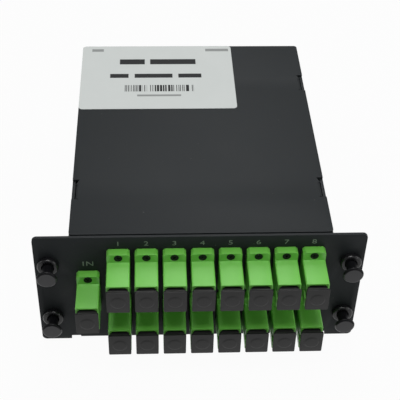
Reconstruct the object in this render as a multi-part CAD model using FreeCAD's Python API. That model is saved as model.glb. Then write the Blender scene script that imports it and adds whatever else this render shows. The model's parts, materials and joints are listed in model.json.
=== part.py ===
import FreeCAD, Part
import math
import os

# A fibre splitter module for a telecom rack: a folded steel box behind a front panel that
# carries one input port and two rows of eight output ports, each with its dust cap, and four
# push-in fixings. All sizes are in millimetres.
#
# Frame: X runs along the panel, Y goes back into the box, Z is up. The origin is the centre
# of the four fixings, on the panel's rear face, which seats on the rack.

# Front panel and folded tray
panel_width = 130.0
panel_height = 58.0
sheet = 1.2
fold_radius = 1.9                # outside of a fold
panel_corner_radius = 2.0
fold_relief = 2.0                # notch beside the panel's fold, along X
wall_gap = 0.3                   # between a wall and the sheet that it ends at

# Box behind the panel
box_width = 102.6
box_centre_x = 0.4
box_depth = 131.6

# Cover
cover_sheet = 1.0
cover_front_gap = 0.7
cover_corner_radius = 1.4
lug_rows_y = (21.2, 94.9)        # where the notches start, from the panel
notch_length = 12.1
lug_width = 8.9
lug_drop = 9.0
lug_fold_radius = 1.3
lug_wall_gap = 0.3
lug_relief = 0.5
dimple_drop = 6.0                # dimple centre below the cover's top
dimple_radius = 1.5
dimple_height = 0.6
dimple_clearance = 0.2

# Label
label_width = 70.6
label_length = 50.4
label_thickness = 0.15
label_corner_radius = 1.8

# Ports
ports_in_row = 8
port_pitch = 10.9
first_port_x = -32.0
upper_row_z = 12.7
lower_row_z = -12.0
in_port_x = -44.2
in_port_z = 1.0

# Adapter
adapter_width = 9.0              # along X
adapter_height = 12.4            # along Z
adapter_edge = 0.4
adapter_front = 13.0             # ahead of the flange
adapter_rear = 13.0              # behind the panel's rear face
flange_height = 20.4
flange_thickness = 3.5
flange_chamfer = 0.9
port_width = 7.4
port_height = 9.1
mouth_height = 11.0              # recess at the port's front edge
mouth_width = 7.6
mouth_depth = 2.2
mouth_chamfer = 1.0
septum = 2.0                     # wall between the front and the rear port
holder_radius = 2.5
holder_front = 5.4               # holder ahead of the septum
holder_collar_radius = 3.2
holder_collar = 0.8              # collar that seats on the septum
holder_clearance = 0.05
key_width = 3.4
key_depth = 4.5
cutout_clearance = 0.15          # adapter in the panel's cut-out, all round

# Adapter screws
screw_spacing = 16.6
screw_radius = 1.0
screw_hole_clearance = 0.15
thread_clearance = 0.02
screw_head_radius = 1.65         # flush in the flange's countersink
screw_head_clearance = 0.05
countersink_depth = 0.75
screw_past_panel = 0.8

# Alignment sleeve
ferrule_radius = 1.25
ferrule_clearance = 0.02
sleeve_wall = 0.35
sleeve_length = 11.4
sleeve_clearance = 0.05
sleeve_slit = 0.4

# Dust cap
cap_width = 8.9
cap_height = 10.9
cap_chamfer = 0.6
cap_plate = 1.3
cap_standoff = 1.5               # from the adapter's front edge to the plate
cap_reach = 4.8                  # into the port
cap_wall = 0.9
cap_clearance = 0.05

# Plungers and grommets
fixing_spacing_x = 119.2
fixing_spacing_z = 29.6
shank_radius = 2.2
head_radius = 3.85
head_rim = 1.0
head_taper = 1.0
head_sink = 0.3                  # head's taper into the ring's funnel when pushed home
nose_radius = 1.7
nose_length = 5.0
plunger_travel = 4.8             # from pulled out, as here, to pushed home
ring_radius = 4.25
ring_thickness = 2.3
ring_edge = 0.9
ring_funnel = 0.7
barrel_radius = 3.1
barrel_length = 9.0              # behind the panel's rear face
shank_clearance = 0.05
hole_clearance = 0.1
leg_slot = 0.7
leg_slot_start = 3.5

# Inner plugs
plug_clearance = 0.05
plug_tail = 12.0                 # housing behind the adapter
sleeve_to_plug = 0.3
boot_size = 5.2                  # square boot where it leaves the housing
boot_end_size = 2.6
boot_length = 17.0
fibre_radius = 0.45

# Splitter module and fibres
module_length = 50.0
module_width = 7.0
module_height = 5.0
loop_radius = 20.0               # middle of the fibre bundle
bundle_radius = 2.4
loop_rear_gap = 4.0
guide_length = 6.0
guide_wall = 1.2
guide_clearance = 0.3
guide_slot = 1.6
tail_run = 9.0                   # straight stretch behind a boot
tail_bend = 10.0
tail_bunching = 0.36             # how far the tails draw together at the loop
tail_lean = 0.15                 # share of that drawn in over the first run
fibre_gap = 0.1                  # tail's end above the loop
boot_gap = 0.25                  # tail's start behind its boot

screw_head_sides = 10            # small round things that repeat are drawn with flats
hidden_sides = 6                 # hidden holes, shanks and sleeves
bundle_sides = 8
fibre_sides = 6

X_AXIS = FreeCAD.Vector(1, 0, 0)
Y_AXIS = FreeCAD.Vector(0, 1, 0)
Z_AXIS = FreeCAD.Vector(0, 0, 1)

box_left = box_centre_x - box_width / 2
box_right = box_centre_x + box_width / 2
floor_z = -panel_height / 2
floor_top = floor_z + sheet
top_z = panel_height / 2
wall_top = top_z - cover_sheet
panel_front = -sheet
flange_front = panel_front - flange_thickness
adapter_nose = flange_front - adapter_front
ring_front = panel_front - ring_thickness
sleeve_outer = ferrule_radius + ferrule_clearance + sleeve_wall
bundle_z = floor_top + guide_wall + guide_clearance + bundle_radius

ports = [("in", in_port_x, in_port_z)]
for row, row_z in enumerate((upper_row_z, lower_row_z)):
    for place in range(ports_in_row):
        number = row * ports_in_row + place + 1
        ports.append((f"{number:02d}", first_port_x + place * port_pitch, row_z))

fixings = []
for side_name, side in (("left", -1), ("right", 1)):
    for level_name, level in (("upper", 1), ("lower", -1)):
        x = side * fixing_spacing_x / 2
        z = level * fixing_spacing_z / 2
        fixings.append((f"{level_name}_{side_name}", x, z))


def vec(x, y, z):
    return FreeCAD.Vector(x, y, z)


def save(name, shape):
    shape.exportStep(f"parts/{name}.step")


def prism(points, direction):
    """Solid with a flat outline of straight sides."""
    outline = Part.makePolygon([vec(*point) for point in points + points[:1]])
    return Part.Face(outline).extrude(direction)


def block(x0, x1, y0, y1, z0, z1):
    return Part.makeBox(x1 - x0, y1 - y0, z1 - z0, vec(x0, y0, z0))


def rod(x, z, radius, y0, y1):
    """Round bar along Y."""
    return Part.makeCylinder(radius, y1 - y0, vec(x, y0, z), Y_AXIS)


def ring_of_points(x, y, z, radius, sides):
    """Corners of a many-sided outline in an XZ plane, with its flats at the radius."""
    corner = radius / math.cos(math.pi / sides)
    angles = [math.pi * (2 * index + 1) / sides for index in range(sides)]
    return [(x + corner * math.cos(a), y, z + corner * math.sin(a)) for a in angles]


def light_rod(x, z, radius, y0, y1):
    """Bar for a small hole or shank, drawn with few sides because there are so many."""
    return prism(ring_of_points(x, y0, z, radius, hidden_sides), Y_AXIS * (y1 - y0))


def light_cone(x, z, first_radius, last_radius, y0, y1):
    """Cone for a screw's head or its countersink, from one radius to another along Y."""
    sections = []
    for radius, y in ((first_radius, y0), (last_radius, y1)):
        corners = ring_of_points(x, y, z, radius, screw_head_sides)
        sections.append(Part.makePolygon([vec(*point) for point in corners + corners[:1]]))
    return Part.makeLoft(sections, True, True)


def rounded_plate(origin, along_u, along_v, width, height, radius, direction):
    """Rectangle with round corners, centred on its origin, pushed along a direction."""
    edges = []
    half_u, half_v = width / 2, height / 2
    corners = ((1, 1), (-1, 1), (-1, -1), (1, -1))
    diagonal = radius * (1 - math.sqrt(0.5))

    def at(u, v):
        return origin + along_u * u + along_v * v

    for index, (su, sv) in enumerate(corners):
        near_u = at(su * half_u, sv * (half_v - radius))
        near_v = at(su * (half_u - radius), sv * half_v)
        middle = at(su * (half_u - diagonal), sv * (half_v - diagonal))
        start, end = (near_u, near_v) if index % 2 == 0 else (near_v, near_u)
        edges.append(Part.Arc(start, middle, end).toShape())
        next_u, next_v = corners[(index + 1) % 4]
        if index % 2 == 0:
            next_start = at(next_u * (half_u - radius), next_v * half_v)
        else:
            next_start = at(next_u * half_u, next_v * (half_v - radius))
        edges.append(Part.LineSegment(end, next_start).toShape())
    return Part.Face(Part.Wire(edges)).extrude(direction)


def chamfered_plate(x, z, width, height, chamfer, y0, y1):
    """Rectangle with cut corners, facing along Y."""
    half_x, half_z = width / 2, height / 2
    outline = []
    for sx, sz, first_is_side in ((1, 1, True), (-1, 1, False), (-1, -1, True), (1, -1, False)):
        side = (x + sx * half_x, y0, z + sz * (half_z - chamfer))
        end = (x + sx * (half_x - chamfer), y0, z + sz * half_z)
        outline += [side, end] if first_is_side else [end, side]
    return prism(outline, Y_AXIS * (y1 - y0))


def folded_wall(corner, inward, up, along, length, height, thickness, radius):
    """Wall folded up from a flat sheet; corner is the sharp outside corner of the fold."""

    def at(u, v):
        return corner + inward * u + up * v

    inner = radius - thickness
    outer_mid = radius * (1 - math.sqrt(0.5))
    inner_mid = radius - inner * math.sqrt(0.5)
    edges = [
        Part.Arc(at(radius, 0), at(outer_mid, outer_mid), at(0, radius)).toShape(),
        Part.LineSegment(at(0, radius), at(0, height)).toShape(),
        Part.LineSegment(at(0, height), at(thickness, height)).toShape(),
        Part.LineSegment(at(thickness, height), at(thickness, radius)).toShape(),
        Part.Arc(at(thickness, radius), at(inner_mid, inner_mid), at(radius, thickness)).toShape(),
        Part.LineSegment(at(radius, thickness), at(radius, 0)).toShape(),
    ]
    return Part.Face(Part.Wire(edges)).extrude(along * length)


def dimple_places():
    """Middle of each lug along Y, with the side that it is on."""
    for start in lug_rows_y:
        for side in (-1, 1):
            yield side, start + lug_relief + (lug_width - lug_relief) / 2


def side_x(side):
    """Outer face of the box on one side."""
    return box_right if side > 0 else box_left


def make_tray():
    panel = rounded_plate(vec(0, panel_front, 0), X_AXIS, Z_AXIS, panel_width, panel_height,
                          panel_corner_radius, Y_AXIS * sheet)
    fold_left = box_left + fold_radius
    fold_right = box_right - fold_radius
    panel = panel.cut(block(box_left - fold_relief, box_right + fold_relief, panel_front, 0,
                            floor_z, floor_z + fold_radius))
    fold_start = panel_front + fold_radius
    base = block(fold_left, fold_right, fold_start, box_depth - fold_radius, floor_z, floor_top)
    wall_height = wall_top - floor_z
    side_length = box_depth - fold_start
    left = folded_wall(vec(box_left, fold_start, floor_z), X_AXIS, Z_AXIS, Y_AXIS,
                       side_length, wall_height, sheet, fold_radius)
    right = folded_wall(vec(box_right, fold_start, floor_z), -X_AXIS, Z_AXIS, Y_AXIS,
                        side_length, wall_height, sheet, fold_radius)
    rear_start = fold_left + wall_gap
    rear = folded_wall(vec(rear_start, box_depth, floor_z), -Y_AXIS, Z_AXIS, X_AXIS,
                       fold_right - wall_gap - rear_start, wall_height, sheet, fold_radius)
    front = folded_wall(vec(fold_left, panel_front, floor_z), Y_AXIS, Z_AXIS, X_AXIS,
                        fold_right - fold_left, fold_radius + sheet, sheet, fold_radius)
    tray = panel.multiFuse([base, left, right, rear, front])

    openings = []
    for _, x, z in ports:
        half_x = adapter_width / 2 + cutout_clearance
        half_z = adapter_height / 2 + cutout_clearance
        openings.append(block(x - half_x, x + half_x, panel_front, 0, z - half_z, z + half_z))
        for end in (-1, 1):
            openings.append(light_rod(x, z + end * screw_spacing / 2,
                                      screw_radius + thread_clearance, panel_front, 0))
    for _, x, z in fixings:
        openings.append(rod(x, z, barrel_radius + hole_clearance, panel_front, 0))
    for side, y in dimple_places():
        start = vec(side_x(side) - side * sheet, y, top_z - dimple_drop)
        openings.append(Part.makeCylinder(dimple_radius + dimple_clearance, sheet, start,
                                          X_AXIS * side))
    return tray.cut(openings).removeSplitter()


def make_cover():
    width = box_right - box_left
    length = box_depth - cover_front_gap
    middle = vec(box_centre_x, cover_front_gap + length / 2, wall_top)
    plate = rounded_plate(middle, X_AXIS, Y_AXIS, width, length, cover_corner_radius,
                          Z_AXIS * cover_sheet)
    notches = []
    lugs = []
    for side in (-1, 1):
        face_x = side_x(side) - side * (sheet + lug_wall_gap)
        root_x = face_x - side * lug_fold_radius
        outside_x = side_x(side) + side * sheet
        for start in lug_rows_y:
            lug_end = start + lug_width
            end = start + notch_length
            outline = [(outside_x, start), (root_x, start), (root_x, lug_end), (face_x, lug_end),
                       (root_x, end), (outside_x, end)]
            notches.append(prism([(x, y, wall_top) for x, y in outline], Z_AXIS * cover_sheet))
            lug_start = start + lug_relief
            corner = vec(face_x, lug_start, top_z)
            lug = folded_wall(corner, -X_AXIS * side, -Z_AXIS, Y_AXIS, lug_end - lug_start,
                              lug_drop, cover_sheet, lug_fold_radius)
            centre = vec(face_x, (lug_start + lug_end) / 2, top_z - dimple_drop)
            bump = Part.makeCone(dimple_radius, dimple_radius - dimple_height, dimple_height,
                                 centre, X_AXIS * side)
            hollow = bump.copy()
            hollow.translate(-X_AXIS * side * cover_sheet)
            lugs.append(lug.fuse(bump).cut(hollow))
    return plate.cut(notches).multiFuse(lugs).removeSplitter()


def make_label():
    middle = vec(box_left + label_width / 2, box_depth - label_length / 2, top_z)
    return rounded_plate(middle, X_AXIS, Y_AXIS, label_width, label_length, label_corner_radius,
                         Z_AXIS * label_thickness)


def make_adapter():
    """Adapter for a port at the origin; its key slot faces -X."""
    middle = panel_front - flange_thickness / 2
    rear = adapter_rear
    body = chamfered_plate(0, 0, adapter_width, adapter_height, adapter_edge, adapter_nose, rear)
    flange = chamfered_plate(0, 0, adapter_width, flange_height, flange_chamfer, flange_front,
                             panel_front)
    cavities = []
    front_port = block(-port_width / 2, port_width / 2, adapter_nose, middle - septum / 2,
                       -port_height / 2, port_height / 2)
    rear_port = block(-port_width / 2, port_width / 2, middle + septum / 2, rear,
                      -port_height / 2, port_height / 2)
    mouth = chamfered_plate(0, 0, mouth_width, mouth_height, mouth_chamfer, adapter_nose,
                            adapter_nose + mouth_depth)
    key = block(-adapter_width / 2, 0, adapter_nose, adapter_nose + key_depth,
                -key_width / 2, key_width / 2)
    cavities += [front_port, rear_port, mouth, key]
    hole_radius = screw_radius + screw_hole_clearance
    for z in (-screw_spacing / 2, screw_spacing / 2):
        cavities.append(light_rod(0, z, hole_radius, flange_front, panel_front))
        cavities.append(light_cone(0, z, screw_head_radius + screw_head_clearance, hole_radius,
                                   flange_front, flange_front + countersink_depth))
    cavities.append(light_rod(0, 0, holder_radius + holder_clearance, adapter_nose, rear))
    return body.fuse(flange).cut(cavities).removeSplitter()


def make_sleeve_holder():
    """Tube through an adapter's septum, with a collar on the septum's front."""
    middle = panel_front - flange_thickness / 2
    septum_front = middle - septum / 2
    tube = light_rod(0, 0, holder_radius, septum_front - holder_front, middle + septum / 2)
    collar = light_rod(0, 0, holder_collar_radius, septum_front - holder_collar, septum_front)
    bore = light_rod(0, 0, sleeve_outer + sleeve_clearance, septum_front - holder_front,
                     middle + septum / 2)
    return tube.fuse(collar).cut(bore)


def make_sleeve():
    middle = panel_front - flange_thickness / 2
    inner = ferrule_radius + ferrule_clearance
    y0, y1 = middle - sleeve_length / 2, middle + sleeve_length / 2
    tube = light_rod(0, 0, sleeve_outer, y0, y1).cut(light_rod(0, 0, inner, y0, y1))
    slit = block(-sleeve_slit / 2, sleeve_slit / 2, y0, y1, 0, sleeve_outer)
    return tube.cut(slit)


def make_screw(z):
    """Countersunk screw from the flange into the panel, at a height from the port's middle."""
    head = light_cone(0, z, screw_head_radius, screw_radius, flange_front,
                      flange_front + countersink_depth)
    return head.fuse(light_rod(0, z, screw_radius, flange_front, screw_past_panel))


def make_cap():
    plate_back = adapter_nose - cap_standoff
    plate = chamfered_plate(0, 0, cap_width, cap_height, cap_chamfer, plate_back - cap_plate,
                            plate_back)
    half_x = port_width / 2 - cap_clearance
    half_z = port_height / 2 - cap_clearance
    end = adapter_nose + cap_reach
    neck = block(-half_x, half_x, plate_back, end, -half_z, half_z)
    hollow = block(-half_x + cap_wall, half_x - cap_wall, plate_back, end,
                   -half_z + cap_wall, half_z - cap_wall)
    return plate.fuse(neck.cut(hollow))


def make_plunger():
    """Plunger on the Y axis, pulled out."""
    neck = ring_front + head_sink - plunger_travel
    face = neck - head_taper - head_rim
    shank_end = panel_front + barrel_length - nose_length
    tip = shank_end + nose_length
    lead_in = shank_radius - nose_radius
    profile = [(0, face), (head_radius - head_rim / 2, face), (head_radius, face + head_rim / 2),
               (head_radius, face + head_rim), (shank_radius, neck), (shank_radius, shank_end),
               (nose_radius, shank_end + lead_in), (nose_radius, tip), (0, tip)]
    return revolve_about_y(profile)


def revolve_about_y(profile):
    """Turned shape from (radius, y) points."""
    points = [vec(radius, y, 0) for radius, y in profile + profile[:1]]
    return Part.Face(Part.makePolygon(points)).revolve(vec(0, 0, 0), Y_AXIS, 360)


def make_grommet():
    """Grommet with a round-edged ring in front of the panel and four legs behind it."""
    bore = shank_radius + shank_clearance
    profile = [(ring_radius - ring_edge, ring_front), (ring_radius, ring_front + ring_edge),
               (ring_radius, panel_front), (barrel_radius, panel_front),
               (barrel_radius, barrel_length), (bore, barrel_length),
               (bore, ring_front + ring_funnel), (bore + ring_funnel, ring_front)]
    turned = revolve_about_y(profile)
    half = leg_slot / 2
    across = block(-barrel_radius, barrel_radius, leg_slot_start, barrel_length, -half, half)
    upright = block(-half, half, leg_slot_start, barrel_length, -barrel_radius, barrel_radius)
    return turned.cut([across, upright])


def make_inner_plug():
    """Connector in an adapter's rear port: housing and tapered boot."""
    middle = panel_front - flange_thickness / 2
    housing_start = middle + sleeve_length / 2 + sleeve_to_plug
    housing_end = adapter_rear + plug_tail
    half_x = port_width / 2 - plug_clearance
    half_z = port_height / 2 - plug_clearance
    housing = block(-half_x, half_x, housing_start, housing_end, -half_z, half_z)
    sections = []
    for size, y in ((boot_size, housing_end), (boot_end_size, housing_end + boot_length)):
        half = size / 2
        corners = ((half, half), (-half, half), (-half, -half), (half, -half), (half, half))
        sections.append(Part.makePolygon([vec(u, y, v) for u, v in corners]))
    return housing.fuse(Part.makeLoft(sections, True, True))


def at_ports(shape):
    """One copy of a shape at each port, as separate solids."""
    copies = []
    for _, x, z in ports:
        copy = shape.copy()
        copy.translate(vec(x, 0, z))
        copies.append(copy)
    return copies


def loop_centre_y():
    return box_depth - sheet - loop_rear_gap - bundle_radius - loop_radius


def make_fibre_loop():
    """Slack of all the fibres, from one end of the module round to the other."""
    half = module_length / 2

    def at(x, y):
        return vec(box_centre_x + x, loop_centre_y() + y, bundle_z)

    edges = [
        Part.Arc(at(half, loop_radius), at(half + loop_radius, 0),
                 at(half, -loop_radius)).toShape(),
        Part.LineSegment(at(half, -loop_radius), at(-half, -loop_radius)).toShape(),
        Part.Arc(at(-half, -loop_radius), at(-half - loop_radius, 0),
                 at(-half, loop_radius)).toShape(),
    ]
    start = at(half, loop_radius)
    corners = ring_of_points(start.y, start.x, start.z, bundle_radius, bundle_sides)
    section = Part.makePolygon([vec(x, y, z) for y, x, z in corners + corners[:1]])
    return Part.Wire(edges).makePipeShell([section], True, True)


def make_module_and_pad():
    """Splitter module across the open side of the loop, on its foam pad."""
    x0, x1 = box_centre_x - module_length / 2, box_centre_x + module_length / 2
    y0 = loop_centre_y() + loop_radius - module_width / 2
    y1 = y0 + module_width
    base = bundle_z - module_height / 2
    module = block(x0, x1, y0, y1, base, base + module_height)
    return module, block(x0, x1, y0, y1, floor_top, base)


def make_fibre_guides():
    """Four open clips: one at each end of the loop's straight and one at each turn."""
    inner = bundle_radius + guide_clearance
    outer = inner + guide_wall
    height = guide_wall + 2 * inner + guide_wall
    half = guide_length / 2
    frame = block(-half, half, -outer, outer, 0, height)
    tunnel = block(-half, half, -inner, inner, guide_wall, guide_wall + 2 * inner)
    slot = block(-half, half, -guide_slot / 2, guide_slot / 2, guide_wall, height)
    clip = frame.cut([tunnel, slot])
    turned = clip.copy()
    turned.rotate(vec(0, 0, 0), Z_AXIS, 90)
    clips = []
    for side in (-1, 1):
        straight_end = side * module_length / 2
        for shape, x, y in ((clip, straight_end, -loop_radius),
                            (turned, straight_end + side * loop_radius, 0)):
            copy = shape.copy()
            copy.translate(vec(box_centre_x + x, loop_centre_y() + y, floor_top))
            clips.append(copy)
    return Part.makeCompound(clips)


def around(direction, radius):
    """Closed run of few-sided corners about a direction."""
    first = direction.cross(X_AXIS).normalize()
    second = direction.cross(first)
    turns = [2 * math.pi * index / fibre_sides for index in range(fibre_sides)]
    corners = [first * radius * math.cos(a) + second * radius * math.sin(a) for a in turns]
    return corners + corners[:1]


def bent_tube(points, radius, bend):
    """Tube along straight runs that meet in one round bend."""
    start, corner, end = [vec(*point) for point in points]
    into = (corner - start).normalize()
    out = (end - corner).normalize()
    turn = into.getAngle(out)
    cut = bend * math.tan(turn / 2)
    first, last = corner - into * cut, corner + out * cut
    centre_way = (out - into).normalize()
    middle = corner + centre_way * (bend / math.cos(turn / 2) - bend)
    path = Part.Wire([Part.LineSegment(start, first).toShape(),
                      Part.Arc(first, middle, last).toShape(),
                      Part.LineSegment(last, end).toShape()])
    section = Part.makePolygon([start + across for across in around(into, radius)])
    return path.makePipeShell([section], True, True)


def make_fibre_tails():
    """A fibre from each boot, back and down on to the loop."""
    boot_end = adapter_rear + plug_tail + boot_length
    land_y = loop_centre_y() - loop_radius
    land_z = bundle_z + bundle_radius + fibre_radius + fibre_gap
    tails = []
    for _, x, z in ports:
        side_step = 1 if z > 0 else -1
        land_x = box_centre_x + (x - box_centre_x) * tail_bunching + side_step * 2 * fibre_radius
        corner = (x + (land_x - x) * tail_lean, boot_end + tail_run, z)
        ends = [(x, boot_end + boot_gap, z), corner, (land_x, land_y, land_z)]
        tails.append(bent_tube(ends, fibre_radius, tail_bend))
    return Part.makeCompound(tails)


os.makedirs("parts", exist_ok=True)

save("tray", make_tray())
save("cover", make_cover())
save("label", make_label())

adapter = make_adapter()
cap = make_cap()
for name, x, z in ports:
    for node, shape in ((f"adapter_{name}", adapter), (f"dust_cap_{name}", cap)):
        copy = shape.copy()
        copy.translate(vec(x, 0, z))
        save(node, copy)

screws = [make_screw(end * screw_spacing / 2) for end in (-1, 1)]
save("adapter_screws", Part.makeCompound(at_ports(screws[0]) + at_ports(screws[1])))
save("sleeve_holders", Part.makeCompound(at_ports(make_sleeve_holder())))
save("alignment_sleeves", Part.makeCompound(at_ports(make_sleeve())))
save("inner_plugs", Part.makeCompound(at_ports(make_inner_plug())))

plunger = make_plunger()
grommet = make_grommet()
for name, x, z in fixings:
    for node, shape in ((f"plunger_{name}", plunger), (f"grommet_{name}", grommet)):
        copy = shape.copy()
        copy.translate(vec(x, 0, z))
        save(node, copy)

save("fibre_loop", make_fibre_loop())
save("fibre_guides", make_fibre_guides())
save("fibre_tails", make_fibre_tails())

module, pad = make_module_and_pad()
save("splitter_module", module)
save("module_pad", pad)
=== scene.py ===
import json
import math

import bmesh
import bpy
from mathutils import Matrix, Vector

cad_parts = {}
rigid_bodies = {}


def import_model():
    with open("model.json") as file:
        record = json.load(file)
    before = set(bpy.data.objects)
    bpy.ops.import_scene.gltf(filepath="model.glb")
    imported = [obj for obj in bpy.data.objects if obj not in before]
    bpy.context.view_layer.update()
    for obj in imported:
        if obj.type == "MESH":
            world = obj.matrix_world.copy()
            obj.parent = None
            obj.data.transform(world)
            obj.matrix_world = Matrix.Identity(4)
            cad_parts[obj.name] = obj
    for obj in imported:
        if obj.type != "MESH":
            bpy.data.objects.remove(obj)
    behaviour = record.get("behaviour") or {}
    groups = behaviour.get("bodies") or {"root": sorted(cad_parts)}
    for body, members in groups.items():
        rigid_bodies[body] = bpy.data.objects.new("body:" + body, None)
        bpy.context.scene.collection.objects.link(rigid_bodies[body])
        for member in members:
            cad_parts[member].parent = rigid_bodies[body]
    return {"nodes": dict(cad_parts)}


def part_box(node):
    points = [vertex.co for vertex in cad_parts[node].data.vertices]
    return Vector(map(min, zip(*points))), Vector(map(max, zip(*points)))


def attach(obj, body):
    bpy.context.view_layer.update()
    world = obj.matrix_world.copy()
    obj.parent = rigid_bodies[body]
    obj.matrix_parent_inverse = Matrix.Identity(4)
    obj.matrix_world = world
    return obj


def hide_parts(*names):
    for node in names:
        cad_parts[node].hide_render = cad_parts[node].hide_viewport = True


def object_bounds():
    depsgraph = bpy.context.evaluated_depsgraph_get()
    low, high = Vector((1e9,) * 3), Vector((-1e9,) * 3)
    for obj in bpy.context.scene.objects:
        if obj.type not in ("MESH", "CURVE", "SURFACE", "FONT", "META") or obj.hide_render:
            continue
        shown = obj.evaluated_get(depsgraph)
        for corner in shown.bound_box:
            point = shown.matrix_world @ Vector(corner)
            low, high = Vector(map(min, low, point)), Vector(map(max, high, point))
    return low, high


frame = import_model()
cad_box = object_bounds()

# A fibre splitter module: charcoal powder-coated box and panel, green adapters with black dust
# caps, black push-in fixings and a pale label. Lengths are in metres, apart from the sizes of
# turned pieces and of the label's print, which are in millimetres.

MM = 0.001
nodes = frame["nodes"]
CASE = "case"
PORTS = ["in"] + [f"{number:02d}" for number in range(1, 17)]
FIXINGS = [f"{level}_{side}" for side in ("left", "right") for level in ("upper", "lower")]
floor_level = cad_box[0].z


# ---------------------------------------------------------------- materials

class Value:
    """A socket of a material, so that a pattern is written as an expression."""

    def __init__(self, shader, socket):
        self.shader = shader
        self.socket = socket

    def math(self, operation, other=None):
        """What one Math node makes of this value, or of this and another."""
        inputs = {0: self}
        if other is not None:
            inputs[1] = other
        return self.shader.node("Math", {"operation": operation}, inputs)

    def __add__(self, other):
        return self.math("ADD", other)

    def __sub__(self, other):
        return self.math("SUBTRACT", other)

    def __mul__(self, other):
        return self.math("MULTIPLY", other)

    def __truediv__(self, other):
        return self.math("DIVIDE", other)

    def __rsub__(self, other):
        return (self * -1) + other

    __radd__ = __add__
    __rmul__ = __mul__

    def above(self, edge, softness):
        """0 below the edge and 1 above it, with a soft step."""
        settings = {"interpolation_type": "SMOOTHSTEP"}
        spread = {"Value": self, "From Min": edge - softness / 2, "From Max": edge + softness / 2}
        return self.shader.node("MapRange", settings, spread)

    def within(self, low, high, softness):
        """1 between two edges and 0 outside them."""
        return self.above(low, softness) * (1 - self.above(high, softness))


class Shader:
    """A material made of expressions."""

    def __init__(self, name):
        self.material = bpy.data.materials.new(name)
        self.material.use_nodes = True
        self.tree = self.material.node_tree
        self.surface = self.tree.nodes["Principled BSDF"]

    def put(self, socket, value):
        """Links an expression to a socket, or sets the socket to a plain value."""
        if isinstance(value, Value):
            self.tree.links.new(value.socket, socket)
        else:
            socket.default_value = value

    def node(self, kind, settings=None, inputs=None, output=0):
        """Adds a node: first its settings, then the values or links of its sockets."""
        made = self.tree.nodes.new("ShaderNode" + kind)
        for name, value in (settings or {}).items():
            setattr(made, name, value)
        for key, value in (inputs or {}).items():
            self.put(made.inputs[key], value)
        return Value(self, made.outputs[output])

    def place(self):
        """Place on the part, in metres."""
        return self.node("TexCoord", output="Object")

    def axes(self):
        """Place on the part, as three separate values."""
        split = self.tree.nodes.new("ShaderNodeSeparateXYZ")
        self.put(split.inputs[0], self.place())
        return [Value(self, split.outputs[index]) for index in range(3)]

    def noise(self, size, detail=3.0, roughness=0.5, where=None):
        """Cloudy pattern whose lumps are about a size across, around 0.5."""
        inputs = {"Vector": where or self.place(), "Scale": 1 / size, "Detail": detail,
                  "Roughness": roughness}
        return self.node("TexNoise", None, inputs)

    def mix(self, factor, first, second):
        """Blend of two colours."""
        settings = {"data_type": "RGBA"}
        return self.node("Mix", settings, {0: factor, 6: first, 7: second}, 2)

    def bump(self, height, distance, strength=1.0):
        """Relief that is a distance deep where the height goes from 0 to 1."""
        inputs = {"Height": height, "Distance": distance, "Strength": strength}
        return self.node("Bump", None, inputs)

    def finish(self, **sockets):
        """Sets the surface's sockets; a name's underscores are its spaces."""
        for name, value in sockets.items():
            self.put(self.surface.inputs[name.replace("_", " ")], value)
        return self.material


def colour(red, green, blue):
    """Opaque colour, as a socket takes it."""
    return (red, green, blue, 1.0)


def powder_coat(name, dark, light, specks):
    """Fine-textured charcoal paint on sheet, with a little dust."""
    shader = Shader(name)
    patches = shader.noise(18 * MM, 4.0)
    grain = shader.noise(0.42 * MM, 2.0, 0.6)
    pebble = shader.noise(1.1 * MM, 2.0)
    base = shader.mix(patches * 0.6 + grain * 0.4, dark, light)
    dust = shader.noise(0.9 * MM, 1.0).above(0.80, 0.03) * shader.noise(9 * MM).above(0.56, 0.05)
    base = shader.mix(dust * specks, base, colour(0.22, 0.22, 0.21))
    relief = shader.bump(grain * 0.7 + pebble * 0.5, 0.05 * MM, 0.55)
    return shader.finish(Base_Color=base, Roughness=0.50 + patches * 0.10 + grain * 0.06,
                         Normal=relief, Specular_IOR_Level=0.17)


def moulded(name, dark, light, roughness, specular, pit=0.3, relief=0.02):
    """Moulded plastic: faint flow clouds in the colour and a spark-eroded texture."""
    shader = Shader(name)
    flow = shader.noise(5 * MM, 3.0)
    texture = shader.noise(pit * MM, 2.0)
    base = shader.mix(flow, dark, light)
    return shader.finish(Base_Color=base, Roughness=roughness + flow * 0.08 + texture * 0.05,
                         Normal=shader.bump(texture, relief * MM, 0.5),
                         Specular_IOR_Level=specular)


def adapter_plastic():
    """Satin green plastic with a few dark specks; a little light passes into it."""
    shader = Shader("adapter_green")
    flow = shader.noise(6 * MM, 3.0)
    texture = shader.noise(0.25 * MM, 2.0)
    base = shader.mix(flow, colour(0.124, 0.440, 0.056), colour(0.150, 0.490, 0.070))
    speck = shader.noise(0.8 * MM, 1.0).above(0.83, 0.02)
    base = shader.mix(speck * 0.5, base, colour(0.05, 0.16, 0.03))
    return shader.finish(Base_Color=base, Roughness=0.28 + flow * 0.06,
                         Normal=shader.bump(texture, 0.012 * MM, 0.5),
                         Specular_IOR_Level=0.5, Subsurface_Weight=0.08,
                         Subsurface_Radius=(0.3, 0.8, 0.15), Subsurface_Scale=0.8 * MM)


def satin_head():
    """Satin nylon of a plunger's face."""
    return moulded("plunger_nylon", colour(0.018, 0.018, 0.020), colour(0.027, 0.027, 0.030),
                   roughness=0.30, specular=0.38, pit=0.22, relief=0.02)


def glossy_ring():
    """Black nylon of a grommet, smooth enough to show lights in its round edge."""
    return moulded("grommet_nylon", colour(0.004, 0.004, 0.005), colour(0.008, 0.008, 0.009),
                   roughness=0.20, specular=0.36, pit=0.8, relief=0.01)


def dark_shank():
    """Painted shade: a darker copy of the plunger's own black nylon, for where it sits behind its
    face and mirrors the dark panel.
    """
    return moulded("shank_nylon_painted_shade", colour(0.003, 0.003, 0.004), colour(0.006, 0.006, 0.007),
                   roughness=0.34, specular=0.12, pit=0.4, relief=0.01)


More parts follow.
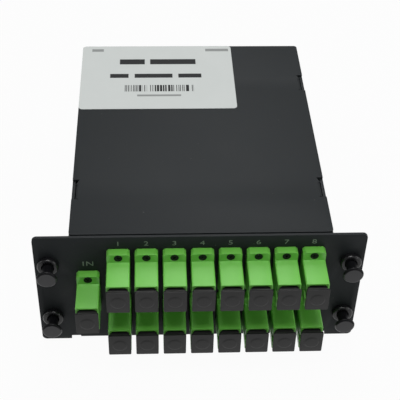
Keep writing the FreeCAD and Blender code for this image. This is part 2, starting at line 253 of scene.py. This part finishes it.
def blackened_screw():
    """Black plated steel, slightly worn."""
    shader = Shader("screw_black")
    worn = shader.noise(0.5 * MM, 3.0)
    base = shader.mix(worn, colour(0.004, 0.004, 0.005), colour(0.010, 0.010, 0.011))
    return shader.finish(Base_Color=base, Roughness=0.20 + worn * 0.12,
                         Normal=shader.bump(worn, 0.02 * MM, 0.5), Specular_IOR_Level=0.24)


def label_film():
    """Pale matt film. Plain bars stand where words were, over a row of upright stripes."""
    shader = Shader("label_film")
    x, y = shader.axes()[:2]
    low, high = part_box("label")
    middle = (low.x + high.x) / 2
    paper = shader.noise(0.35 * MM, 3.0)
    clouds = shader.noise(14 * MM, 2.0)
    base = shader.mix(clouds, colour(0.500, 0.527, 0.515), colour(0.538, 0.561, 0.550))

    def field(left, right, top, height, softness=0.25 * MM):
        """Printed bar; its sides are from the label's middle and its top from the rear edge."""
        across = x.within(middle + left * MM, middle + right * MM, softness)
        along = y.within(high.y - (top + height) * MM, high.y - top * MM, softness)
        return across * along

    def bars(sizes):
        """Bars side by side, each given as left, right, top and height in millimetres."""
        total = field(*sizes[0])
        for size in sizes[1:]:
            total = total + field(*size)
        return total.math("MINIMUM", 1.0)

    stripe = 0.34 * MM
    column = (x / stripe).math("FLOOR")
    drawn = shader.node("TexWhiteNoise", {"noise_dimensions": "1D"}, {"W": column}, "Value")
    stripes = drawn.above(0.48, 0.02) * field(-15.4, 16.4, 32.2, 5.0, 0.1 * MM)
    bold = bars(((-17.6, -5.9, 11.2, 4.2), (-3.4, 18.0, 11.2, 4.2),
                 (-21.9, -13.4, 23.2, 3.2), (-10.6, 6.9, 23.2, 3.2), (9.6, 20.3, 23.2, 3.2)))
    small = bars(((-9.4, 10.5, 39.6, 1.4), (-30.9, -25.4, 2.4, 2.2), (23.0, 34.0, 2.4, 2.2)))
    ink = colour(0.014, 0.015, 0.016)
    small_ink_share = 0.55
    base = shader.mix(stripes, base, ink)
    base = shader.mix(bold, base, ink)
    base = shader.mix(small * small_ink_share, base, ink)
    return shader.finish(Base_Color=base, Roughness=0.42 + paper * 0.12,
                         Normal=shader.bump(paper, 0.02 * MM, 0.3), Specular_IOR_Level=0.12)


def panel_ink():
    """Grey-green ink, thin in places."""
    shader = Shader("panel_ink")
    wear = shader.noise(0.5 * MM, 3.0)
    base = shader.mix(wear, colour(0.10, 0.13, 0.10), colour(0.24, 0.29, 0.24))
    return shader.finish(Base_Color=base, Roughness=0.55, Normal=shader.bump(wear, 0.01 * MM))


def brushed_steel():
    """Plain steel, drawn along X."""
    shader = Shader("module_steel")
    along, across = 40.0, 1600.0
    stretch = {"Vector": shader.place(), "Scale": (along, across, across)}
    lines = shader.noise(1.0, 2.0, where=shader.node("Mapping", None, stretch))
    base = shader.mix(lines, colour(0.50, 0.51, 0.52), colour(0.66, 0.67, 0.68))
    return shader.finish(Base_Color=base, Metallic=1.0, Roughness=0.3 + lines * 0.15,
                         Normal=shader.bump(lines, 0.01 * MM))


def foam():
    """Closed-cell foam."""
    shader = Shader("foam_grey")
    cells = shader.node("TexVoronoi", None, {"Vector": shader.place(), "Scale": 1 / (0.5 * MM)})
    base = shader.mix(cells, colour(0.30, 0.30, 0.31), colour(0.16, 0.16, 0.17))
    return shader.finish(Base_Color=base, Roughness=0.9, Normal=shader.bump(cells, 0.1 * MM))


materials = {
    "case": powder_coat("case_coat", colour(0.012, 0.014, 0.015), colour(0.017, 0.020, 0.022),
                        specks=0.5),
    "label": label_film(),
    "adapter": adapter_plastic(),
    "cap": moulded("cap_plastic", colour(0.011, 0.011, 0.011), colour(0.018, 0.018, 0.018),
                   roughness=0.44, specular=0.33, pit=0.28, relief=0.03),
    "screw": blackened_screw(),
    "head": satin_head(),
    "ring": glossy_ring(),
    # painted shade: a darker copy of the plunger nylon for its shank and upward-facing rim
    "shank": dark_shank(),
    "ceramic": moulded("sleeve_white", colour(0.78, 0.78, 0.75), colour(0.86, 0.86, 0.84),
                       roughness=0.15, specular=0.5),
    "plug": moulded("plug_green", colour(0.08, 0.30, 0.06), colour(0.11, 0.36, 0.08),
                    roughness=0.4, specular=0.5),
    "fibre": moulded("fibre_jacket", colour(0.72, 0.72, 0.70), colour(0.80, 0.80, 0.78),
                     roughness=0.45, specular=0.5),
    "guide": moulded("guide_nylon", colour(0.52, 0.52, 0.50), colour(0.62, 0.62, 0.60),
                     roughness=0.4, specular=0.5),
    "steel": brushed_steel(),
    "foam": foam(),
    "ink": panel_ink(),
}


# ---------------------------------------------------------------- making pieces

def add_piece(name, made, material, body, replaced, smooth_angle=40):
    """Puts a shape in the scene as a piece of the part, for the nodes that it replaces."""
    mesh = bpy.data.meshes.new(name)
    made.to_mesh(mesh)
    made.free()
    mesh.materials.append(materials[material])
    mesh.shade_smooth()
    mesh.set_sharp_from_angle(angle=math.radians(smooth_angle))
    piece = bpy.data.objects.new(name, mesh)
    bpy.context.scene.collection.objects.link(piece)
    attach(piece, body)
    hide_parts(*replaced)
    return piece


def darken_behind(piece, level, tilt, material):
    """Painted shade: gives a turned piece a second finish, a darker copy of its own material,
    behind its face and where its rim faces upwards.
    """
    piece.data.materials.append(materials[material])
    for face in piece.data.polygons:
        if face.center.y > level or face.normal.z > tilt:
            face.material_index = 1


def softened(node, radius, segments=2):
    """A node's own shape with its sharp edges rounded over."""
    sharp_angle = math.radians(35)
    flat_angle = math.radians(0.5)
    made = bmesh.new()
    made.from_mesh(nodes[node].data)
    bmesh.ops.remove_doubles(made, verts=made.verts, dist=0.001 * MM)
    bmesh.ops.dissolve_limit(made, angle_limit=flat_angle, verts=made.verts, edges=made.edges)
    sharp = [edge for edge in made.edges if len(edge.link_faces) == 2
             and edge.calc_face_angle() > sharp_angle]
    bmesh.ops.bevel(made, geom=sharp, offset=radius, segments=segments, profile=0.5,
                    affect="EDGES", clamp_overlap=True)
    return made


def outline(width, height, radius, y, steps):
    """Rectangle with round corners about the Y axis, as a ring of points."""
    ring = []
    for index, (side, level) in enumerate(((1, 1), (-1, 1), (-1, -1), (1, -1))):
        for step in range(steps):
            angle = math.radians(90) * (index + step / (steps - 1))
            ring.append(Vector((side * (width / 2 - radius) + radius * math.cos(angle), y,
                                level * (height / 2 - radius) + radius * math.sin(angle))))
    return ring


def circle(radius, y, count):
    """Ring of points about the Y axis."""
    turns = [2 * math.pi * index / count for index in range(count)]
    return [Vector((radius * math.cos(turn), y, radius * math.sin(turn))) for turn in turns]


def loft(made, rings, closed_loop=False):
    """Skin over rings of equally many points, with flat ends or joined end to end."""
    rows = [[made.verts.new(point) for point in ring] for ring in rings]
    pairs = list(zip(rows, rows[1:]))
    if closed_loop:
        pairs.append((rows[-1], rows[0]))
    for near, far in pairs:
        for index in range(len(near)):
            after = (index + 1) % len(near)
            made.faces.new((near[index], near[after], far[after], far[index]))
    if not closed_loop:
        made.faces.new(rows[0])
        made.faces.new(reversed(rows[-1]))


def turned(profile, count=64, closed_loop=False):
    """Turned piece about the Y axis from (radius, y) points in millimetres."""
    made = bmesh.new()
    loft(made, [circle(radius * MM, y * MM, count) for radius, y in profile], closed_loop)
    tidy(made)
    return made


def tidy(made):
    """Joins points that lie together and turns every face outwards."""
    bmesh.ops.remove_doubles(made, verts=made.verts, dist=0.0005 * MM)
    bmesh.ops.recalc_face_normals(made, faces=made.faces)


def round_over(centre_radius, centre_y, radius, start, end, steps):
    """Points of an arc in a turning profile; angles are in degrees from the radius axis."""
    points = []
    for step in range(steps + 1):
        angle = math.radians(start + (end - start) * step / steps)
        points.append((centre_radius + radius * math.cos(angle),
                       centre_y + radius * math.sin(angle)))
    return points


def moved(made, offset):
    """A shape, shifted by an offset."""
    bmesh.ops.translate(made, verts=made.verts, vec=offset)
    return made


# ---------------------------------------------------------------- camera, light and floor

def make_camera():
    """Camera above and in front of the panel, a little to the left of its middle."""
    aim = Vector((1.03, 28.8, 21.14)) * MM
    distance = 418.87 * MM
    azimuth, elevation, roll = (math.radians(angle) for angle in (-3.469, 41.531, 1.679))
    forward = Vector((-math.sin(azimuth) * math.cos(elevation),
                      math.cos(azimuth) * math.cos(elevation), -math.sin(elevation)))
    level = Vector((math.cos(azimuth), math.sin(azimuth), 0))
    upright = level.cross(forward)
    right = level * math.cos(roll) + upright * math.sin(roll)
    up = upright * math.cos(roll) - level * math.sin(roll)
    data = bpy.data.cameras.new("camera")
    data.lens = 91.57
    data.sensor_width = 36.0
    data.clip_start = 0.01
    data.clip_end = 20.0
    camera = bpy.data.objects.new("camera", data)
    turn = Matrix((right, up, -forward)).transposed().to_4x4()
    camera.matrix_world = Matrix.Translation(aim - forward * distance) @ turn
    bpy.context.scene.collection.objects.link(camera)
    bpy.context.scene.camera = camera


def add_softbox(name, place, size, power):
    """Square soft light, aimed at the part's origin."""
    data = bpy.data.lights.new(name, "AREA")
    data.shape = "SQUARE"
    data.size = size
    data.energy = power
    light = bpy.data.objects.new(name, data)
    light.location = place
    light.rotation_euler = (-Vector(place)).to_track_quat("-Z", "Y").to_euler()
    bpy.context.scene.collection.objects.link(light)


def seen_by_camera(tree, glossy_share):
    """1 for what the camera and clear things see, and a share of it for what gloss mirrors."""
    path = tree.nodes.new("ShaderNodeLightPath")
    gloss = tree.nodes.new("ShaderNodeMath")
    gloss.operation = "MULTIPLY_ADD"
    gloss.inputs[1].default_value = glossy_share
    tree.links.new(path.outputs["Is Glossy Ray"], gloss.inputs[0])
    tree.links.new(path.outputs["Is Camera Ray"], gloss.inputs[2])
    total = tree.nodes.new("ShaderNodeMath")
    total.operation = "MAXIMUM"
    tree.links.new(gloss.outputs[0], total.inputs[0])
    tree.links.new(path.outputs["Is Transmission Ray"], total.inputs[1])
    return total.outputs[0]


def make_world(ambient):
    """Dim, even light from all round; the camera sees it white."""
    glossy_share = 0.3
    world = bpy.data.worlds.new("studio")
    bpy.context.scene.world = world
    world.use_nodes = True
    tree = world.node_tree
    background = tree.nodes["Background"]
    background.inputs["Color"].default_value = (1, 1, 1, 1)
    strength = tree.nodes.new("ShaderNodeMapRange")
    strength.inputs["To Min"].default_value = ambient
    strength.inputs["To Max"].default_value = 1.0
    tree.links.new(seen_by_camera(tree, glossy_share), strength.inputs["Value"])
    tree.links.new(strength.outputs[0], background.inputs["Strength"])


def make_floor(shown_share):
    """Pale floor; what the camera sees of it is mostly white, with the part's soft shadow."""
    half_size = 3.0
    gap = 0.02 * MM
    grey = 0.42
    glossy_share = 1.0
    mesh = bpy.data.meshes.new("floor")
    corners = [(side * half_size, end * half_size, floor_level - gap)
               for side, end in ((-1, -1), (1, -1), (1, 1), (-1, 1))]
    mesh.from_pydata(corners, [], [(0, 1, 2, 3)])
    floor = bpy.data.objects.new("floor", mesh)
    bpy.context.scene.collection.objects.link(floor)
    material = bpy.data.materials.new("floor_white")
    material.use_nodes = True
    tree = material.node_tree
    paper = tree.nodes["Principled BSDF"]
    paper.inputs["Base Color"].default_value = colour(grey, grey, grey)
    paper.inputs["Roughness"].default_value = 0.9
    paper.inputs["Specular IOR Level"].default_value = 0.0
    white = tree.nodes.new("ShaderNodeEmission")
    share = tree.nodes.new("ShaderNodeMath")
    share.operation = "MULTIPLY"
    share.inputs[1].default_value = shown_share
    mix = tree.nodes.new("ShaderNodeMixShader")
    tree.links.new(seen_by_camera(tree, glossy_share), share.inputs[0])
    tree.links.new(share.outputs[0], mix.inputs[0])
    tree.links.new(paper.outputs[0], mix.inputs[1])
    tree.links.new(white.outputs[0], mix.inputs[2])
    tree.links.new(mix.outputs[0], tree.nodes["Material Output"].inputs["Surface"])
    mesh.materials.append(material)


make_camera()
make_world(ambient=0.09)
make_floor(shown_share=0.96)
add_softbox("key_light", (0.0, -0.16, 1.0), size=0.5, power=5.7)
add_softbox("left_light", (-1.0, 0.10, 0.50), size=0.6, power=1.8)
add_softbox("right_light", (1.0, 0.10, 0.50), size=0.6, power=2.6)
add_softbox("back_light", (0.05, 0.68, 0.85), size=0.42, power=4.3)
add_softbox("front_light", (0.25, -0.85, 0.75), size=0.5, power=0.5)
add_softbox("fill_light", (0.90, -0.70, 0.30), size=0.5, power=1.9)
bpy.context.scene.view_settings.view_transform = "Standard"


# ---------------------------------------------------------------- box, cover and label

def make_case():
    """Folded sheets with their coat, and the label on the cover."""
    sheet_edge = 0.16 * MM
    film_edge = 0.03 * MM
    for node in ("tray", "cover"):
        add_piece(f"{node}_coated", softened(node, sheet_edge), "case", CASE,
                  (node,))
    add_piece("label_film", softened("label", film_edge, 1), "label", CASE,
              ("label",))


# ---------------------------------------------------------------- ports

def make_adapters():
    """Moulded adapters, with the small round edges that their mould gives."""
    mould_edge = 0.20 * MM
    for port in PORTS:
        node = f"adapter_{port}"
        add_piece(f"{node}_moulded", softened(node, mould_edge), "adapter",
                  CASE, (node,))


def cap_shape(width, height, depth):
    """Dust cap with a raised round pad on its plate, a parting groove and a hollow neck."""
    corner, rim, plate = 0.50 * MM, 0.10 * MM, 1.3 * MM
    neck_width, neck_height, neck_corner = 7.3 * MM, 9.0 * MM, 0.5 * MM
    chamfer, smallest_corner = 0.12 * MM, corner * 0.2
    arc_steps, slope_steps, rim_steps = 12, 8, 4

    def plate_ring(inset, y):
        return outline(width - 2 * inset, height - 2 * inset,
                       max(corner - inset, smallest_corner), y, arc_steps)

    def pad_ring(radius, y):
        return outline(2 * radius, 2 * radius, radius, y, arc_steps)

    def neck_ring(inset, radius, y):
        return outline(neck_width - 2 * inset, neck_height - 2 * inset, radius, y, arc_steps)

    pad_radius, pad_slope, pad_height = 3.2 * MM, 0.9 * MM, 0.30 * MM
    pad_middle = 0.4 * MM
    rings = [pad_ring(pad_middle, 0.0)]
    for step in range(slope_steps + 1):
        share = step / slope_steps
        rings.append(pad_ring(pad_radius - pad_slope * (1 - share),
                              pad_height * (0.5 - 0.5 * math.cos(math.pi * share))))
    for step in range(rim_steps + 1):
        angle = math.radians(90) * step / rim_steps
        rings.append(plate_ring(rim * (1 - math.sin(angle)),
                                pad_height + rim * (1 - math.cos(angle))))

    groove, flank = 0.35 * MM, 0.03 * MM
    groove_start, groove_end = 0.56 * MM, 0.90 * MM
    rings += [plate_ring(0, groove_start), plate_ring(groove, groove_start + flank),
              plate_ring(groove, groove_end - flank), plate_ring(0, groove_end),
              plate_ring(0, plate - chamfer), plate_ring(chamfer, plate)]

    wall, bore_corner = 0.9 * MM, 0.2 * MM
    lead_in, lead_in_length, lead_in_corner = 0.25 * MM, 0.3 * MM, neck_corner * 0.6
    step_back = 0.02 * MM
    rings += [neck_ring(0, neck_corner, plate + step_back),
              neck_ring(0, neck_corner, depth - lead_in_length),
              neck_ring(lead_in, lead_in_corner, depth),
              neck_ring(wall, bore_corner, depth),
              neck_ring(wall, bore_corner, plate)]
    made = bmesh.new()
    loft(made, rings)
    tidy(made)
    return made


def make_caps():
    """Dust caps, each on its own body."""
    for port in PORTS:
        node = f"dust_cap_{port}"
        low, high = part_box(node)
        middle = (low + high) / 2
        made = cap_shape(high.x - low.x, high.z - low.z, high.y - low.y)
        moved(made, Vector((middle.x, low.y, middle.z)))
        add_piece(f"{node}_moulded", made, "cap", f"cap_{port}", (node,))


def screw_shape():
    """Countersunk screw with a cross recess; the face of its head is at Y = 0."""
    head, shank, head_height, tip, chamfer = 1.65, 1.0, 0.75, 5.5, 0.4
    profile = [(0.02, 0.0), (head - 0.18, 0.0), (head - 0.06, 0.04), (head - 0.02, 0.12),
               (shank, head_height), (shank, tip - chamfer), (shank - chamfer, tip)]
    made = turned(profile, count=32)
    blade_length, blade_width, blade_corner = 2.2 * MM, 0.36 * MM, 0.1 * MM
    blade_taper = ((1.0, -0.2), (0.9, 0.0), (0.35, 0.65))
    corner_steps, blade_turn = 3, 20
    cross = bmesh.new()
    for turn in (blade_turn, blade_turn + 90):
        rings = [outline(blade_length * share, blade_width * share, blade_corner * share,
                         y * MM, corner_steps)
                 for share, y in blade_taper]
        first = len(cross.verts)
        loft(cross, rings)
        cross.verts.ensure_lookup_table()
        bmesh.ops.rotate(cross, verts=cross.verts[first:], cent=(0, 0, 0),
                         matrix=Matrix.Rotation(math.radians(turn), 3, "Y"))
    bmesh.ops.recalc_face_normals(cross, faces=cross.faces)
    return cut_away(made, cross)


def cut_away(made, tool):
    """One shape less another."""
    scene = bpy.context.scene.collection.objects
    shapes = []
    for name, source in (("cut_body", made), ("cut_tool", tool)):
        mesh = bpy.data.meshes.new(name)
        source.to_mesh(mesh)
        source.free()
        shape = bpy.data.objects.new(name, mesh)
        scene.link(shape)
        shapes.append(shape)
    body, cutter = shapes
    cut = body.modifiers.new("cut", "BOOLEAN")
    cut.operation = "DIFFERENCE"
    cut.solver = "EXACT"
    cut.use_self = True
    cut.object = cutter
    graph = bpy.context.evaluated_depsgraph_get()
    result = bmesh.new()
    result.from_mesh(bpy.data.meshes.new_from_object(body.evaluated_get(graph)))
    for shape in shapes:
        bpy.data.objects.remove(shape)
    return result


def make_screws():
    """Two screws to each adapter, each turned to where it happened to stop."""
    pattern = bpy.data.meshes.new("screw_pattern")
    shape = screw_shape()
    shape.to_mesh(pattern)
    shape.free()
    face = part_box("adapter_screws")[0].y
    spacing = 16.6 * MM
    turn_by_port, turn_by_end, cross_repeat = 37, 20, 90
    made = bmesh.new()
    for place, port in enumerate(PORTS):
        low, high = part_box(f"adapter_{port}")
        middle = (low + high) / 2
        for end in (-1, 1):
            first = len(made.verts)
            made.from_mesh(pattern)
            made.verts.ensure_lookup_table()
            screw = made.verts[first:]
            turn = math.radians((turn_by_port * place + turn_by_end * end) % cross_repeat)
            seat = Vector((middle.x, face, middle.z + end * spacing / 2))
            bmesh.ops.rotate(made, verts=screw, cent=(0, 0, 0),
                             matrix=Matrix.Rotation(turn, 3, "Y"))
            bmesh.ops.translate(made, verts=screw, vec=seat)
    add_piece("adapter_screws_turned", made, "screw", CASE, ("adapter_screws",),
              smooth_angle=30)


# ---------------------------------------------------------------- fixings

def make_plunger(place):
    """Plunger with a slightly domed satin face; its upward-facing rim and its shank carry painted
    shade, a darker copy of its nylon.
    """
    low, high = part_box(f"plunger_{place}")
    middle = (low + high) / 2
    length = (high.y - low.y) / MM
    head, rim, edge, dome = 4.05, 1.0, 0.86, 0.10
    shank, taper = 2.2, 0.62
    nose, nose_length, nose_taper, nose_chamfer = 1.7, 5.0, 0.5, 0.3
    painted_shade_tilt = 0.13
    profile = [(head * share, dome * share ** 2)
               for share in (0.02, 0.15, 0.3, 0.45, 0.6, 0.72, 0.82)]
    profile += round_over(head - edge, dome + edge, edge, -80, 0, 8)
    profile += [(head, rim), (head - 0.12, rim + 0.08),
                (shank + 0.20, rim + taper - 0.12), (shank + 0.05, rim + taper + 0.02),
                (shank, rim + taper + 0.15)]
    profile += [(shank, length - nose_length), (nose, length - nose_length + nose_taper),
                (nose, length - nose_chamfer), (nose - nose_chamfer, length)]
    made = moved(turned(profile), Vector((middle.x, low.y, middle.z)))
    piece = add_piece(f"plunger_{place}_turned", made, "head",
                      f"plunger_{place}_body", (f"plunger_{place}",), smooth_angle=35)
    # painted shade on the shank and on the upward-facing part of the rim
    darken_behind(piece, low.y + (dome + edge) * MM, painted_shade_tilt, "shank")


def add_leg(made, inner, outer, start, end, slot, quarter):
    """One leg of a split barrel: a bent bar between two slots."""
    steps = 8

    def arc(radius, y, backwards):
        half_slot = math.asin(slot / 2 / radius)
        first = math.radians(90) * quarter + half_slot
        last = math.radians(90) * (quarter + 1) - half_slot
        turns = [first + (last - first) * step / steps for step in range(steps + 1)]
        if backwards:
            turns.reverse()
        return [Vector((radius * math.cos(turn), y, radius * math.sin(turn))) for turn in turns]

    loft(made, [arc(outer, y, False) + arc(inner, y, True) for y in (start, end)])


def make_grommet(place):
    """Round-edged ring against the panel, with a split barrel behind it."""
    low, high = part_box(f"grommet_{place}")
    middle = (low + high) / 2
    end = (high.y - low.y) / MM
    bore, ring, barrel, thickness = 2.25, 4.25, 3.1, 2.3
    funnel, shoulder, back_chamfer = 0.30, 0.95, 0.1
    slot, slot_start = 0.7, thickness + 4.7
    profile = [(bore, funnel + 0.1), (bore + 0.06, funnel - 0.06),
               (bore + funnel - 0.08, 0.10), (bore + funnel, 0.03), (bore + funnel + 0.10, 0.0)]
    profile += round_over(ring - shoulder, shoulder, shoulder, -88, 0, 9)
    profile += [(ring, thickness - back_chamfer), (ring - back_chamfer, thickness),
                (barrel, thickness), (barrel, slot_start), (bore, slot_start)]
    made = turned(profile, closed_loop=True)
    for quarter in range(4):
        add_leg(made, bore * MM, barrel * MM, slot_start * MM, end * MM, slot * MM, quarter)
    bmesh.ops.recalc_face_normals(made, faces=made.faces)
    moved(made, Vector((middle.x, low.y, middle.z)))
    add_piece(f"grommet_{place}_moulded", made, "ring", CASE,
              (f"grommet_{place}",), smooth_angle=35)


# ---------------------------------------------------------------- print on the panel

def add_lettering(name, words, x, z, height):
    """Raised ink on the panel's front face; the height is that of a capital."""
    capital_share, widening, letter_spacing = 0.72, 1.25, 1.15
    thickness, lift = 0.015 * MM, 0.005 * MM
    data = bpy.data.curves.new(name, "FONT")
    data.body = words
    data.size = height / capital_share
    data.align_x = "CENTER"
    data.align_y = "CENTER"
    data.extrude = thickness
    data.space_character = letter_spacing
    data.materials.append(materials["ink"])
    piece = bpy.data.objects.new(name, data)
    panel_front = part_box("tray")[0].y
    piece.rotation_euler = (math.radians(90), 0, 0)
    piece.location = (x, panel_front - lift, z)
    piece.scale = (widening, 1.0, 1.0)
    bpy.context.scene.collection.objects.link(piece)
    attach(piece, CASE)


def make_lettering():
    """A number over each port of the upper row, and IN over the input port."""
    digit_height, digit_lift = 2.3 * MM, 2.6 * MM
    word_height, word_lift, word_shift = 2.5 * MM, 3.7 * MM, 0.2 * MM
    for number in range(1, 9):
        low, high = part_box(f"adapter_{number:02d}")
        add_lettering(f"digit_{number}", str(number), (low.x + high.x) / 2,
                      high.z + digit_lift, digit_height)
    low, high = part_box("adapter_in")
    add_lettering("word_in", "IN", (low.x + high.x) / 2 + word_shift, high.z + word_lift,
                  word_height)


# ---------------------------------------------------------------- inside the box

def make_inside():
    """What the box holds: moulded pieces with soft edges, and the rest as they are."""
    for node, edge_mm, material, slot in (
            ("inner_plugs", 0.2, "plug", "plug_green"),
            ("sleeve_holders", 0.1, "plug", "plug_green"),
            ("fibre_guides", 0.15, "guide", "guide_plastic"),
            ("splitter_module", 0.2, "steel", "module_steel"),
            ("module_pad", 0.1, "foam", "foam_grey")):
        add_piece(f"{node}_inside", softened(node, edge_mm * MM), material, CASE, (node,))
    for node, material in (("alignment_sleeves", "ceramic"), ("fibre_loop", "fibre"),
                           ("fibre_tails", "fibre")):
        slots = nodes[node].data.materials
        slots.clear()
        slots.append(materials[material])


make_case()
make_adapters()
make_caps()
make_screws()
for place in FIXINGS:
    make_plunger(place)
    make_grommet(place)
make_lettering()
make_inside()
